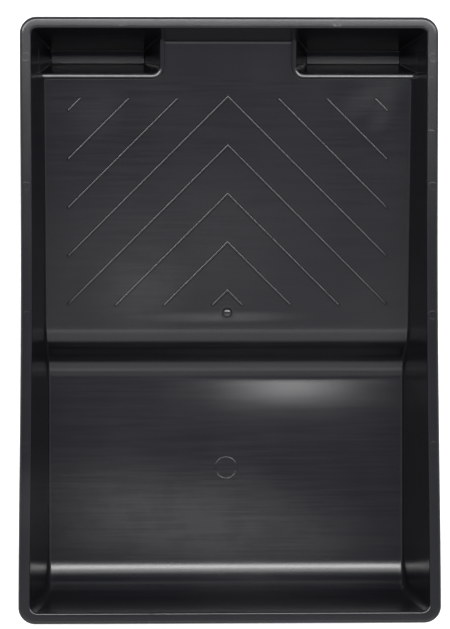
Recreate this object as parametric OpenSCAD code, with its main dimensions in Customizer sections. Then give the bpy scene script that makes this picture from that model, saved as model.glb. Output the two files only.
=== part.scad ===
// Paint roller tray: one thin-walled plastic moulding with a deep reservoir at the front (-Y),
// a ribbed ramp that climbs towards the back (+Y), and a hollow foot under each back corner.
// The moulding is cut into named regions that meet face to face.
// Origin: centre of the overall outline, on the surface the tray stands on. Z is up.

/* [Overall] */
// Width over the rim, side to side
overall_w = 280; // [260:1:320]
// Length over the rim, front to back
overall_l = 405; // [395:1:430]
// Height of the rim above the ground
overall_h = 72; // [68:1:85]
// Wall thickness everywhere
wall = 1.6; // [1.4:0.1:2.2]

/* [Rim] */
// Width of the flat crown, from the opening to the outer edge
rim_w = 8; // [7:0.5:10]
// Height of the turned-down edge, including the crown
rim_drop = 7; // [5:0.5:10]
// Radius of the outer corners, seen from above
rim_corner_r = 11.5; // [11:0.5:20]
// Radius of the crown's outer shoulder
rim_shoulder_r = 2.4; // [2:0.1:3]

/* [Reservoir] */
// Width of the flat reservoir floor
floor_w = 242.4; // [238:0.2:250]
// Distance from the centre to the front edge of the flat floor
floor_front = 162.4; // [150:0.2:166]
// Distance from the centre to the back edge of the flat floor
floor_back = 39.8; // [39.8:0.2:46]
// Fillet between the floor and the front wall
front_fillet_r = 26; // [20:0.5:28]

/* [Step] */
// Distance from the centre to the crease at the top of the step
crease_front = 4; // [2:0.2:4]
// Height of the crease at the foot of the ramp
crease_h = 26; // [24:0.5:26]
// Fillet between the floor and the step
step_fillet_r = 20; // [16:0.5:20]
// Radius of the rounded nose above the step
step_nose_r = 24; // [20:0.5:24]
// Slope of the nose where it meets the crease, in degrees
nose_end_slope = 10; // [9:0.5:12]

/* [Ramp] */
// Width of the ramp at the crease
ramp_low_w = 246.4; // [244:0.2:250]
// Width of the ramp at the back
ramp_high_w = 247.8; // [246:0.2:252]
// Height of the ramp at the back wall
ramp_top_h = 48; // [44:0.5:52]
// Distance from the centre to the top of the ramp
ramp_back = 187.5; // [186:0.5:189]

/* [Chevron ribs] */
// Spacing of the chevrons along the ramp
rib_pitch = 32.8; // [28:0.2:38]
// Chevrons whose point lies on the ramp
rib_points = 5; // [4:1:5]
// Chevrons whose point would lie above the ribbed field, so only their arms show
rib_arms_only = 3; // [1:1:3]
// Height of the first chevron's point above the lower edge of the ribbed field
rib_first = 10.7; // [8:0.1:14]
// Width of one rib
rib_w = 2; // [1:0.1:2.4]
// Height of one rib
rib_h = 0.9; // [0.6:0.1:1.4]
// Width of the ribbed field
rib_field_w = 216.6; // [200:0.2:230]
// Distance from the crease to the ribbed field
rib_field_start = 13.7; // [12:0.1:18]
// Length of the ribbed field
rib_field_l = 141; // [130:0.5:144]

/* [Feet] */
// Distance from the centre line to the inner edge of the foot pocket at ramp level
foot_mouth_x = 45.8; // [40:0.2:50]
// Distance from the centre to the front edge of the foot pocket at ramp level
foot_mouth_y = 165.5; // [163:0.5:168]
// Distance from the centre line to the inner edge of the pocket floor
foot_floor_x = 55.5; // [52:0.5:60]
// Length of the pocket floor, across the tray
foot_floor_w = 63.7; // [58:0.1:64]
// Distance from the centre to the front edge of the pocket floor
foot_floor_y = 175.3; // [174:0.1:176]
// Depth of the pocket floor, front to back
foot_floor_l = 9.3; // [8:0.1:10]

/* [Dams] */
// Width of the raised bead round each foot pocket
dam_w = 2.8; // [2.4:0.1:3.2]
// Height of the bead above the ramp
dam_h = 3; // [2:0.1:4]
// Outer corner radius of the bead, seen from above
dam_corner_r = 8; // [6:0.5:10]

/* [Moulding marks] */
// Diameter of the gate nub at the foot of the ramp
nub_d = 5.6; // [4:0.5:6]
// Height of the gate nub above the ramp
nub_h = 2; // [1.5:0.1:2.4]
// Distance from the crease to the gate nub
nub_up = 9.1; // [7:0.1:11]
// Diameter of the shallow dimple round the nub
dimple_d = 10; // [8:0.5:12]
// Depth of the dimple
dimple_depth = 0.5; // [0.3:0.1:0.7]
// Diameter of the ejector ring on the reservoir floor
ring_d = 15.5; // [12:0.5:18]
// Width of the ejector ring's line
ring_line = 0.8; // [0.6:0.1:1.2]
// Height of the ejector ring's line
ring_h = 0.3; // [0.2:0.1:0.5]

/* [Hidden] */
$fn = 64;
arc_steps = 10;
slope_side_steps = 5;                         // flat stretches along the side wall of the ramp
mitre_room = 1;                               // degrees of the nose's underside left out at the crease
far = 500;                                    // longer than the tray in any direction
plastic = [0.13, 0.135, 0.145];

// The opening inside the rim, and the height where walls meet the underside of the crown
open_x = overall_w / 2 - rim_w;
open_y = overall_l / 2 - rim_w;
under_crown = overall_h - wall;
corner_x = overall_w / 2 - rim_corner_r;
corner_y = overall_l / 2 - rim_corner_r;

// Side walls of the reservoir: one flat drafted plane each
floor_x = floor_w / 2;
side_lean = (open_x - floor_x) / (under_crown - wall);
side_skin = wall * sqrt(1 + side_lean * side_lean);
function reservoir_x(z) = floor_x + (z - wall) * side_lean;

// Front wall: from the rim, tangent to the fillet on the floor
front_c = [-floor_front, wall + front_fillet_r];
front_top = [-open_y, under_crown];
front_d = front_c - front_top;
front_turn = 180 - atan2(-front_d[1], front_d[0]) - asin(front_fillet_r / norm(front_d));
front_angle = 180 - front_turn;               // slope of the front wall above the horizontal

// Step: a fillet, a flat face tangent to it, and a rounded nose that ends at the crease
crease = [-crease_front, crease_h];
fillet_c = [-floor_back, wall + step_fillet_r];
nose_c = crease + step_nose_r * [sin(nose_end_slope), -cos(nose_end_slope)];
step_d = nose_c - fillet_c;
face_angle = atan2(step_d[1], step_d[0]) + asin((step_fillet_r + step_nose_r) / norm(step_d));

// Ramp: a flat plate from the crease to the back wall
ramp_top = [ramp_back, ramp_top_h];
ramp_d = ramp_top - crease;
ramp_angle = atan2(ramp_d[1], ramp_d[0]);
ramp_len = norm(ramp_d);
back_top = [open_y, under_crown];
back_d = back_top - ramp_top;
back_angle = atan2(back_d[1], back_d[0]);

// A point under a corner of the profile where both walls are one wall thickness away
function mitre(p, a, b) = p + wall / cos((b - a) / 2) * [sin((a + b) / 2), -cos((a + b) / 2)];
function arc(c, r, a0, a1) = [for (i = [0 : arc_steps]) let (a = a0 + (a1 - a0) * i / arc_steps)
    c + r * [cos(a), sin(a)]];
function backwards(v) = [for (i = [len(v) - 1 : -1 : 0]) v[i]];

crease_under = mitre(crease, nose_end_slope, ramp_angle);
ramp_top_under = mitre(ramp_top, ramp_angle, back_angle);
back_top_under = back_top + [wall / sin(back_angle), 0];
front_top_under = front_top - [wall / sin(front_angle), 0];

// Each pair of outlines runs from front to back: the upper face and the underside
front_upper = concat([front_top], arc(front_c, front_fillet_r, 270 - front_angle, 270));
front_under = concat([front_top_under], arc(front_c, front_fillet_r + wall, 270 - front_angle, 270));
step_upper = concat(arc(fillet_c, step_fillet_r, 270, 270 + face_angle),
                    arc(nose_c, step_nose_r, 90 + face_angle, 90 + nose_end_slope));
step_under = concat(arc(fillet_c, step_fillet_r + wall, 270, 270 + face_angle),
                    arc(nose_c, step_nose_r - wall, 90 + face_angle, 90 + nose_end_slope + mitre_room),
                    [crease_under]);
ramp_upper = [crease, ramp_top];
ramp_under = [crease_under, ramp_top_under];

// Side walls of the step and ramp: each leans from the edge of the slope out to the rim
function slope_x(y) = y < -crease_front
    ? lookup(y, [[-floor_back, floor_x], [-crease_front, ramp_low_w / 2]])
    : lookup(y, [[-crease_front, ramp_low_w / 2], [ramp_back, ramp_high_w / 2]]);
function slope_z(y) = lookup(y, concat(step_upper, [ramp_top]));
function slope_under_z(y) = lookup(y, concat(step_under, [ramp_top_under]));

// Feet
foot_front = foot_mouth_y - wall;
foot_end_x = foot_floor_x + foot_floor_w;
foot_back_y = foot_floor_y + foot_floor_l;
mouth_z = slope_z(foot_mouth_y);
foot_skin = 0.35;                             // extra width of a leaning wall, measured level

// Extrudes an outline of [y, z] points across the tray, centred on x = 0
module across(width) rotate([90, 0, 90]) translate([0, 0, -width / 2]) linear_extrude(width) children();

// Extrudes an outline of [x, z] points along the tray, from y0 to y1
module along(y0, y1) translate([0, y1, 0]) rotate([90, 0, 0]) linear_extrude(y1 - y0) children();

// Places children on the ramp: x across, y up the slope from the crease, z out of its face
module on_ramp() translate([0, crease[0], crease[1]]) rotate([ramp_angle, 0, 0]) children();

module both_sides() {
    children();
    mirror([1, 0, 0]) children();
}

// A closed solid through outlines of equal length, each a list of [x, y, z] points
module loft(rings) {
    n = len(rings[0]);
    last = len(rings) - 1;
    sides = [for (i = [0 : last - 1], j = [0 : n - 1], half = [0, 1])
        let (a = i * n + j, b = i * n + (j + 1) % n)
        half == 0 ? [a, b, b + n] : [a, b + n, a + n]];
    polyhedron([for (ring = rings) each ring],
               concat(sides, [[for (j = [n - 1 : -1 : 0]) j]], [[for (j = [0 : n - 1]) last * n + j]]));
}

// Section of the rim: x is measured from the centre of a corner, z from the ground
module rim_section() {
    inner = rim_corner_r - rim_w;
    shoulder = [rim_corner_r - rim_shoulder_r, overall_h - rim_shoulder_r];
    polygon(concat([[inner, under_crown], [inner, overall_h]],
                   backwards(arc(shoulder, rim_shoulder_r, 0, 90)),
                   [[rim_corner_r, overall_h - rim_drop], [rim_corner_r - wall, overall_h - rim_drop]],
                   arc(shoulder, rim_shoulder_r - wall, 0, 90)));
}

module rim_side(reach, half_length) translate([reach, half_length, 0])
    rotate([90, 0, 0]) linear_extrude(2 * half_length) rim_section();

module rim() color(plastic) {
    for (turn = [0, 180]) rotate(turn) {
        rim_side(corner_x, corner_y);
        rotate(90) rim_side(corner_y, corner_x);
        translate([corner_x, corner_y]) rotate_extrude(angle = 90) rim_section();
        translate([-corner_x, corner_y]) rotate(90) rotate_extrude(angle = 90) rim_section();
    }
}

// The space between the two flat side walls of the reservoir
module between_reservoir_sides() along(-far, far) polygon([
    for (side = [-1, 1], z = side < 0 ? [overall_h, 0] : [0, overall_h]) [side * reservoir_x(z), z]]);

module front_wall() color(plastic) intersection() {
    across(far) polygon(concat(front_upper, backwards(front_under)));
    between_reservoir_sides();
}

module reservoir_floor() color(plastic) intersection() {
    across(far) polygon([[-floor_front, 0], [-floor_back, 0], [-floor_back, wall], [-floor_front, wall]]);
    between_reservoir_sides();
}

// Outline of the step and ramp seen from above, without the foot pockets
module slope_plan() polygon([for (side = [-1, 1], y = side < 0 ? [ramp_back, -crease_front, -floor_back]
                                                              : [-floor_back, -crease_front, ramp_back])
    [side * slope_x(y), y]]);

module step() color(plastic) intersection() {
    across(far) polygon(concat(step_upper, backwards(step_under)));
    linear_extrude(overall_h) slope_plan();
}

module ramp() color(plastic) difference() {
    intersection() {
        across(far) polygon(concat(ramp_upper, backwards(ramp_under)));
        ramp_outline();
    }
    on_ramp() translate([0, nub_up, 0]) {
        dimple_r = (dimple_d * dimple_d / 4 + dimple_depth * dimple_depth) / (2 * dimple_depth);
        translate([0, 0, dimple_r - dimple_depth]) sphere(dimple_r);
        translate([0, 0, -dimple_depth]) cylinder(d = nub_d, h = wall);
    }
}

// The upright prism that bounds the ramp plate, with rounded corners where it meets the dams
module ramp_outline() {
    dam_front = foot_mouth_y - dam_w;
    dam_side = foot_mouth_x - dam_w;
    round_c = [dam_side + dam_corner_r, dam_front + dam_corner_r];
    linear_extrude(overall_h) difference() {
        union() {
            polygon([for (side = [-1, 1], y = side < 0 ? [dam_front, -floor_back] : [-floor_back, dam_front])
                [side * slope_x(y), y]]);
            translate([-round_c[0], 0]) square([2 * round_c[0], open_y]);
        }
        both_sides() {
            translate(round_c) circle(dam_corner_r);
            translate([dam_side, round_c[1]]) square(far);
        }
    }
}

module back_wall() color(plastic)
    across(2 * (foot_mouth_x - wall)) polygon([ramp_top, back_top, back_top_under, ramp_top_under]);

module reservoir_side() intersection() {
    along(-far, -floor_back) polygon([
        [reservoir_x(0), 0], [reservoir_x(0) + side_skin, 0],
        [open_x + side_skin, under_crown], [open_x, under_crown]]);
    across(far) polygon(concat(front_under, [[-floor_back, 0], [-floor_back, under_crown]]));
}

module slope_side() {
    stops = concat([for (p = step_upper) p[0]],
                   [for (i = [1 : slope_side_steps])
                       -crease_front + (foot_front + crease_front) * i / slope_side_steps]);
    loft([for (y = stops) let (x = slope_x(y), low = slope_under_z(y)) [
        [x, y, low], [x, y, slope_z(y)], [open_x, y, under_crown],
        [open_x + side_skin, y, under_crown], [x + side_skin, y, low]]]);
}

module left_reservoir_side() color(plastic) mirror([1, 0, 0]) reservoir_side();
module right_reservoir_side() color(plastic) reservoir_side();
module left_ramp_side() color(plastic) mirror([1, 0, 0]) slope_side();
module right_ramp_side() color(plastic) slope_side();

// A tapering block: grow widens it on every side, and low is the height of its bottom
module foot_block(grow, low) {
    skin = grow + (grow > 0 ? foot_skin : 0);
    intersection() {
        along(0, far) polygon([
            [foot_floor_x - skin, low], [foot_end_x + skin, low], [open_x + grow, under_crown],
            [foot_mouth_x - grow, under_crown], [foot_mouth_x - grow, mouth_z]]);
        across(far) polygon([
            [foot_floor_y - skin, low], [foot_back_y + skin, low], [open_y + grow, under_crown],
            [foot_mouth_y - grow, under_crown], [foot_mouth_y - grow, mouth_z]]);
    }
}

// The open space above the ramp, bounded by its side walls and back wall
module above_ramp() intersection() {
    edge_x = slope_x(foot_mouth_y);
    along(0, far) polygon([[0, 0], [edge_x, 0], [edge_x, mouth_z], [open_x, under_crown],
                           [open_x, far], [0, far]]);
    across(far) polygon([[0, slope_under_z(0)], [ramp_back, slope_under_z(ramp_back)], ramp_top, back_top,
                         [open_y, far], [0, far]]);
}

module foot() difference() {
    foot_block(wall, 0);
    foot_block(0, wall);
    above_ramp();
}

module left_foot() color(plastic) mirror([1, 0, 0]) foot();
module right_foot() color(plastic) foot();

// Section of the raised bead: x from its outer edge, y out of the ramp's face
module dam_section() {
    translate([0, -wall]) square([dam_w, wall + dam_h - dam_w / 2]);
    translate([dam_w / 2, dam_h - dam_w / 2]) circle(d = dam_w);
}

module dam() on_ramp() {
    front = (foot_mouth_y - dam_w + crease_front) / cos(ramp_angle);
    side = foot_mouth_x - dam_w;
    translate([side + dam_corner_r, front + dam_corner_r]) {
        rotate(180) rotate_extrude(angle = 90) translate([dam_corner_r, 0]) mirror([1, 0]) dam_section();
        translate([-dam_corner_r, ramp_len - front - dam_corner_r]) rotate([90, 0, 0])
            linear_extrude(ramp_len - front - dam_corner_r) dam_section();
        translate([0, -dam_corner_r]) rotate([90, 0, 90])
            linear_extrude(slope_x(foot_mouth_y) - side - dam_corner_r) dam_section();
    }
}

module left_dam() color(plastic) mirror([1, 0, 0]) dam();
module right_dam() color(plastic) dam();

// One chevron, pointing up the ramp, with its point at the origin
module chevron() both_sides() rotate(-45)
    translate([-rib_w / 2, -rib_w / 2]) square([far, rib_w]);

module chevron_ribs() color(plastic) on_ramp() translate([0, rib_field_start, 0]) linear_extrude(rib_h)
    intersection() {
        translate([-rib_field_w / 2, 0]) square([rib_field_w, rib_field_l]);
        for (i = [0 : rib_points + rib_arms_only - 1]) translate([0, rib_first + i * rib_pitch]) chevron();
    }

module gate_nub() color(plastic) on_ramp() translate([0, nub_up, 0]) {
    nub_r = nub_d / 2;
    shaft_h = nub_h - nub_r * 0.6;
    translate([0, 0, -dimple_depth]) cylinder(r = nub_r, h = shaft_h + dimple_depth);
    intersection() {
        translate([0, 0, nub_h - nub_r * 17 / 15]) sphere(nub_r * 17 / 15);
        translate([0, 0, shaft_h]) cylinder(r = nub_r, h = nub_h);
    }
}

module ejector_ring() color(plastic)
    translate([0, -(floor_front + floor_back) / 2, wall]) linear_extrude(ring_h) difference() {
        circle(d = ring_d);
        circle(d = ring_d - 2 * ring_line);
    }

rim();
front_wall();
reservoir_floor();
step();
ramp();
back_wall();
left_reservoir_side();
right_reservoir_side();
left_ramp_side();
right_ramp_side();
left_foot();
right_foot();
left_dam();
right_dam();
chevron_ribs();
gate_nub();
ejector_ring();
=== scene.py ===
"""Looks for the black plastic paint roller tray.

The tray is one thin-walled moulding. Each region of it is a closed shell built from the design's own
outlines, with the fillets, rounded beads and draft that the moulding has. Lengths are in millimetres
and are turned into metres when a mesh is made. +Y is the shallow end, and +Z is up.
"""
import math

import bpy
import numpy as np
from mathutils import Matrix, Vector
from mathutils.geometry import delaunay_2d_cdt


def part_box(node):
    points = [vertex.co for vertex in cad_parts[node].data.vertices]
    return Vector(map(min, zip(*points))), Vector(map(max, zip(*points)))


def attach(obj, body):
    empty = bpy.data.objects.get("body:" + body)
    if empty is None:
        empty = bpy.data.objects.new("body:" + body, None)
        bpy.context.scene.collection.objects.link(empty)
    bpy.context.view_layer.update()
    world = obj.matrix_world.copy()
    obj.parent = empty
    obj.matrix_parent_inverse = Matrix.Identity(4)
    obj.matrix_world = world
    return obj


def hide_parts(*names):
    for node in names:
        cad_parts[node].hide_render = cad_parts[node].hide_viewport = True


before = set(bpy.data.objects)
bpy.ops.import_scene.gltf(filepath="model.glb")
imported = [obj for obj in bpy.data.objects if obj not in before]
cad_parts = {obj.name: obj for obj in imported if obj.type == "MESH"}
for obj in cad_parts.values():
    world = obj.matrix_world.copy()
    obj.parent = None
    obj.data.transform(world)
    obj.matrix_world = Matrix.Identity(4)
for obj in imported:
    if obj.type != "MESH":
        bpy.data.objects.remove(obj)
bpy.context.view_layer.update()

MM = 0.001
HALF_PI = math.pi / 2


def box_mm(node):
    low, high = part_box(node)
    return np.array(low) / MM, np.array(high) / MM


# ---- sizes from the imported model
rim_low, rim_high = box_mm("rim")
floor_low, floor_high = box_mm("reservoir_floor")
ramp_low, ramp_high = box_mm("ramp")
back_low, back_high = box_mm("back_wall")
nub_low, nub_high = box_mm("gate_nub")
ring_low, ring_high = box_mm("ejector_ring")
ribs_low, ribs_high = box_mm("chevron_ribs")

HALF_W, HALF_L, TOP = rim_high
WALL = floor_high[2]
RIM_W = 8.0
OPEN_X = HALF_W - RIM_W
OPEN_Y = HALF_L - RIM_W
SEAM_Z = back_high[2]  # where the walls meet the underside of the crown
FLOOR_X = floor_high[0]
FLOOR_FRONT, FLOOR_BACK = floor_low[1], floor_high[1]
CREASE_Y, CREASE_Z = ramp_low[1], box_mm("step")[1][2]
RAMP_BACK, RAMP_TOP = back_low[1], ramp_high[2]
RAMP_SLOPE = math.atan2(RAMP_TOP - CREASE_Z, RAMP_BACK - CREASE_Y)

# ---- sizes of the looks
FRONT_FILLET = 26.0  # between the front wall and the floor
STEP_FILLET = 20.0  # between the floor and the face of the step
NOSE_R = 24.0  # rounding over the top of the step
NOSE_END = math.radians(10.0)  # slope of that rounding where it ends, at the crease
BACK_FILLET = 3.0  # between the ramp and the back wall
RAMP_LOW_X, RAMP_HIGH_X = 123.2, 123.9  # half width of the ramp at the crease and at the back
EDGE_R = 2.4  # fillet along the foot of the side walls
CORNER_R = 5.5  # the same fillet where it climbs the front corners
BACK_CORNER_R = 4.0  # back corners of the opening in the rim
RIM_CORNER_R = 11.5  # outer corners of the rim
MOUTH_X, MOUTH_Y = 45.8, 165.5  # inner and front edge of the right pocket's mouth
MOUTH_Z = CREASE_Z + (MOUTH_Y - CREASE_Y) * math.tan(RAMP_SLOPE)
POCKET_X0, POCKET_X1 = 55.5, 119.2  # sides of the right pocket at its floor
POCKET_Y0, POCKET_Y1 = 175.3, 184.6  # its front and back there
POCKET_CORNER, POCKET_EDGE = 2.5, 1.4  # its corner radii at its mouth: back outer, and the others
POCKET_LOW_R = 1.1  # its corner radius at its floor
DAM_W, DAM_H, DAM_CORNER = 2.8, 3.0, 8.0  # the bead round its mouth: width, height, outer radius
DAM_FRONT = MOUTH_Y - DAM_W
JOG_EDGE = 0.9  # rounding of the upright edges beside each pocket
SINK_LENGTH = 36.0  # the floor sags a little in front of the step
SINK_TILT = math.radians(7.5)
SINK_X, SINK_HALF = 44.0, 100.0  # middle of the sag across the tray, and half its width
SIDES = (("right", 1.0), ("left", -1.0))


# ---- small helpers
def lerp(a, b, t):
    return a + (b - a) * t


def smooth(t):
    t = min(max(t, 0.0), 1.0)
    return t * t * (3 - 2 * t)


def unit(v):
    v = np.asarray(v, float)
    return v / np.linalg.norm(v)


def slerp(a, b, t):
    angle = math.acos(max(-1.0, min(1.0, float(np.dot(a, b)))))
    if angle < 1e-6:
        return a
    return (math.sin((1 - t) * angle) * a + math.sin(t * angle) * b) / math.sin(angle)


def arc(centre, radius, start, end, count):
    """Points along an arc in a plane, between two angles from the plane's first axis."""
    return [np.array(centre) + radius * np.array([math.cos(a), math.sin(a)])
            for a in np.linspace(start, end, count)]


def square_to(slope):
    """(y, z) of the way out of a face that rises towards the back at a slope."""
    return np.array([-math.sin(slope), math.cos(slope)])


def flipped(grid, flip):
    """The grid itself where flip is 1, and its mirror image on the other side where it is -1."""
    return grid * np.array([flip, 1.0, 1.0])


class Shell:
    """A closed solid: an inner face, an outer face behind it, and a band that joins their edges."""

    def __init__(self):
        self.inner, self.normal, self.outer, self.faces = [], [], [], []

    def add_grid(self, inner, normal, outer, closed=False):
        """A grid of points; closed joins the last row back to the first."""
        rows, columns = inner.shape[:2]
        start = len(self.inner)
        self.inner.extend(inner.reshape(-1, 3))
        self.normal.extend(normal.reshape(-1, 3))
        self.outer.extend(outer.reshape(-1, 3))
        for i in range(rows if closed else rows - 1):
            for j in range(columns - 1):
                here, across = start + i * columns + j, start + (i + 1) % rows * columns + j
                self.faces.append([here, across, across + 1, here + 1])
        return self

    def add_plate(self, points, faces, normal, thickness):
        """A flat plate with the faces given."""
        start = len(self.inner)
        for point in points:
            self.inner.append(np.array(point))
            self.normal.append(normal)
            self.outer.append(np.array(point) - normal * thickness)
        self.faces.extend([start + k for k in face] for face in faces)
        return self

    def welded(self):
        """Joins points that coincide, and turns faces that lose an edge into triangles."""
        seen, index, keep = {}, [], []
        for k, point in enumerate(self.inner):
            key = tuple(np.round(point, 3))
            if key not in seen:
                seen[key] = len(keep)
                keep.append(k)
            index.append(seen[key])
        inner = np.array([self.inner[k] for k in keep])
        normal = np.array([unit(self.normal[k]) for k in keep])
        outer = np.array([self.outer[k] for k in keep])
        faces = []
        for face in self.faces:
            ring = [index[k] for k in face]
            ring = [a for a, b in zip(ring, ring[1:] + ring[:1]) if a != b]
            if len(set(ring)) < 3:
                continue
            a, b, c = (inner[ring[k]] for k in (0, 1, 2))
            facing = np.cross(b - a, c - a)
            if len(ring) == 4:
                facing = np.cross(inner[ring[2]] - a, inner[ring[3]] - b)
            if np.dot(facing, normal[ring[0]]) < 0:
                ring.reverse()
            faces.append(ring)
        return inner, normal, outer, faces


def bowed_mesh(name, points, faces):
    """A smooth mesh in metres, from points in millimetres that still have straight sides."""
    mesh = bpy.data.meshes.new(name)
    mesh.from_pydata([tuple(p * MM) for p in warped(points)], [], faces)
    mesh.polygons.foreach_set("use_smooth", [True] * len(mesh.polygons))
    return mesh


def add_piece(name, mesh, nodes):
    """Puts a mesh in the scene as one piece of the tray, in place of the nodes given."""
    mesh.update()
    piece = bpy.data.objects.new(name, mesh)
    bpy.context.scene.collection.objects.link(piece)
    piece.data.materials.append(plastic)
    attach(piece, "root")
    if nodes:
        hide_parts(*nodes)


def make_shell(name, shell, *nodes):
    """A piece made of a shell, with a stated normal at every face corner."""
    inner, normal, outer, faces = shell.welded()
    n = len(inner)
    points = np.vstack([inner, outer])
    all_faces, corner_normals = [], []
    edges = set()
    for face in faces:
        all_faces.append(face)
        corner_normals.extend(normal[k] for k in face)
        edges.update(zip(face, face[1:] + face[:1]))
    for face in faces:
        back = [k + n for k in reversed(face)]
        all_faces.append(back)
        corner_normals.extend(-normal[k - n] for k in back)
    for a, b in sorted(edges):
        if (b, a) not in edges:
            facing = np.cross(points[a] - points[b], points[a + n] - points[b])
            facing = unit(facing) if np.linalg.norm(facing) > 1e-9 else normal[a]
            all_faces.append([b, a, a + n, b + n])
            corner_normals.extend([facing] * 4)
    mesh = bowed_mesh(name, points, all_faces)
    mesh.normals_split_custom_set([tuple(n) for n in corner_normals])
    add_piece(name, mesh, nodes)


def make_smooth(name, points, faces, nodes=(), sharp_above=40):
    """A piece whose normals come from its faces, kept sharp where they turn by more than an angle."""
    mesh = bowed_mesh(name, points, faces)
    mesh.set_sharp_from_angle(angle=math.radians(sharp_above))
    add_piece(name, mesh, nodes)


# Half width of the rim at stations along the tray: its sides bow in, and the deep end is the widest
BOW_Y = np.array([-202.5, -173, -133, -93, -53, 6, 87, 186, 202.5])
BOW_X = np.array([141.4, 141.2, 140.9, 140.4, 139.8, 139.4, 139.45, 139.9, 140.0])
BOW = np.polyfit(BOW_Y / HALF_L, BOW_X / HALF_W - 1, 4)


def warped(points):
    """Bows the sides; the rim moves in full and the ground not at all."""
    points = np.array(points, float)
    height = np.clip(points[:, 2] / TOP, 0, 1) ** 2
    points[:, 0] *= 1 + np.polyval(BOW, points[:, 1] / HALF_L) * height
    return points


# ---- the tray's inner surface
def make_profile():
    """Rows of (y, z, slope, region) from the front of the opening back to the crease."""
    rows = []
    centre = np.array([FLOOR_FRONT, WALL + FRONT_FILLET])
    to_centre = centre - np.array([-OPEN_Y, SEAM_Z])
    reach = math.hypot(*to_centre)
    turn = math.asin(FRONT_FILLET / reach)
    slope = math.atan2(to_centre[1], to_centre[0]) - turn
    start = centre - FRONT_FILLET * square_to(slope)
    for t in np.linspace(0, 1, 21)[:-1]:
        rows.append((*lerp(np.array([-OPEN_Y, SEAM_Z]), start, t), slope, "front_wall"))
    for t in np.linspace(0, 1, 31):
        a = slope * (1 - t)
        rows.append((*(centre - FRONT_FILLET * square_to(a)), a, "front_wall"))
    stops = np.concatenate([np.linspace(FLOOR_FRONT, FLOOR_BACK - SINK_LENGTH, 13)[1:],
                            np.linspace(FLOOR_BACK - SINK_LENGTH, FLOOR_BACK, 25)[1:]])
    for y in stops:
        rows.append((y, WALL, 0.0, "reservoir_floor"))
    low_c = np.array([FLOOR_BACK, WALL + STEP_FILLET])
    crease = np.array([CREASE_Y, CREASE_Z])
    high_c = crease - NOSE_R * square_to(NOSE_END)
    between = high_c - low_c
    face = math.atan2(between[1], between[0]) + math.asin(
        (STEP_FILLET + NOSE_R) / math.hypot(*between))
    for t in np.linspace(0, 1, 15)[1:]:
        a = face * t
        rows.append((*(low_c - STEP_FILLET * square_to(a)), a, "step"))
    fillet_end = np.array(rows[-1][:2])
    nose_start = high_c + NOSE_R * square_to(face)
    for t in np.linspace(0, 1, 7)[1:-1]:
        rows.append((*lerp(fillet_end, nose_start, t), face, "step"))
    for t in np.linspace(0, 1, 15)[:-1]:
        a = lerp(face, NOSE_END, t)
        rows.append((*(high_c + NOSE_R * square_to(a)), a, "step"))
    rows.append((*crease, (NOSE_END + RAMP_SLOPE) / 2, "step"))
    return rows


PROFILE = make_profile()
PROFILE_Y = np.array([row[0] for row in PROFILE])
PROFILE_Z = np.array([row[1] for row in PROFILE])


def surface_z(y):
    """Height of the floor, step or ramp, ignoring the front wall."""
    if y <= FLOOR_BACK:
        return WALL
    if y >= CREASE_Y:
        return CREASE_Z + (y - CREASE_Y) * math.tan(RAMP_SLOPE)
    return float(np.interp(y, PROFILE_Y, PROFILE_Z))


def edge_x(y):
    """Half width of the floor, step or ramp at its foot."""
    if y >= CREASE_Y:
        return lerp(RAMP_LOW_X, RAMP_HIGH_X, (y - CREASE_Y) / (RAMP_BACK - CREASE_Y))
    start, end = FLOOR_BACK - 6, CREASE_Y - 4  # the walls part along the step
    return lerp(FLOOR_X, RAMP_LOW_X, smooth((y - start) / (end - start)))


def side_x(y, z):
    """Half width of the tray between its side walls, which lean out to the rim."""
    low_z, low_x = surface_z(y), edge_x(y)
    return low_x + (OPEN_X - low_x) * (z - low_z) / (SEAM_Z - low_z)


def side_normal(y, z):
    step = 0.05
    dy = (side_x(y + step, z) - side_x(y - step, z)) / (2 * step)
    dz = (side_x(y, z + step) - side_x(y, z - step)) / (2 * step)
    return unit([-1.0, dy, dz])


def fillet_strip(y, z, slope, radius, at_top, steps=8):
    """One arc between the profile and the right side wall: points, normals and points behind."""
    profile_n = np.array([0, *square_to(slope)])
    side_n = side_normal(y, z)
    foot = np.array([side_x(y, z), y, z])
    centre = foot + radius * (profile_n + side_n) / (1 + profile_n @ side_n)
    normals = [slerp(profile_n, side_n, k / steps) for k in range(steps + 1)]
    inner = [centre - radius * n for n in normals]
    outer = [centre - (radius + WALL) * n for n in normals]
    if at_top:
        along = np.cross(profile_n, side_n)
        inner = [p + along * (SEAM_Z - p[2]) / along[2] for p in inner]
        outer = [p + along * (SEAM_Z - p[2]) / along[2] for p in outer]
    return np.array(inner), np.array(normals), np.array(outer)


def edge_radius(y, z):
    """The fillet at the foot of the side walls grows as it climbs the front corners."""
    return lerp(EDGE_R, CORNER_R, smooth((FLOOR_FRONT + 4 - y) / (OPEN_Y + FLOOR_FRONT)))


RAMP_ROWS = [(y, surface_z(y), RAMP_SLOPE, "ramp")
             for y in np.linspace(CREASE_Y, DAM_FRONT, 22)[1:]]
ALL_ROWS = PROFILE + RAMP_ROWS
STRIPS = [fillet_strip(y, z, slope, edge_radius(y, z), k == 0)
          for k, (y, z, slope, _) in enumerate(ALL_ROWS)]
SIDE_STEPS = 14


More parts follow.
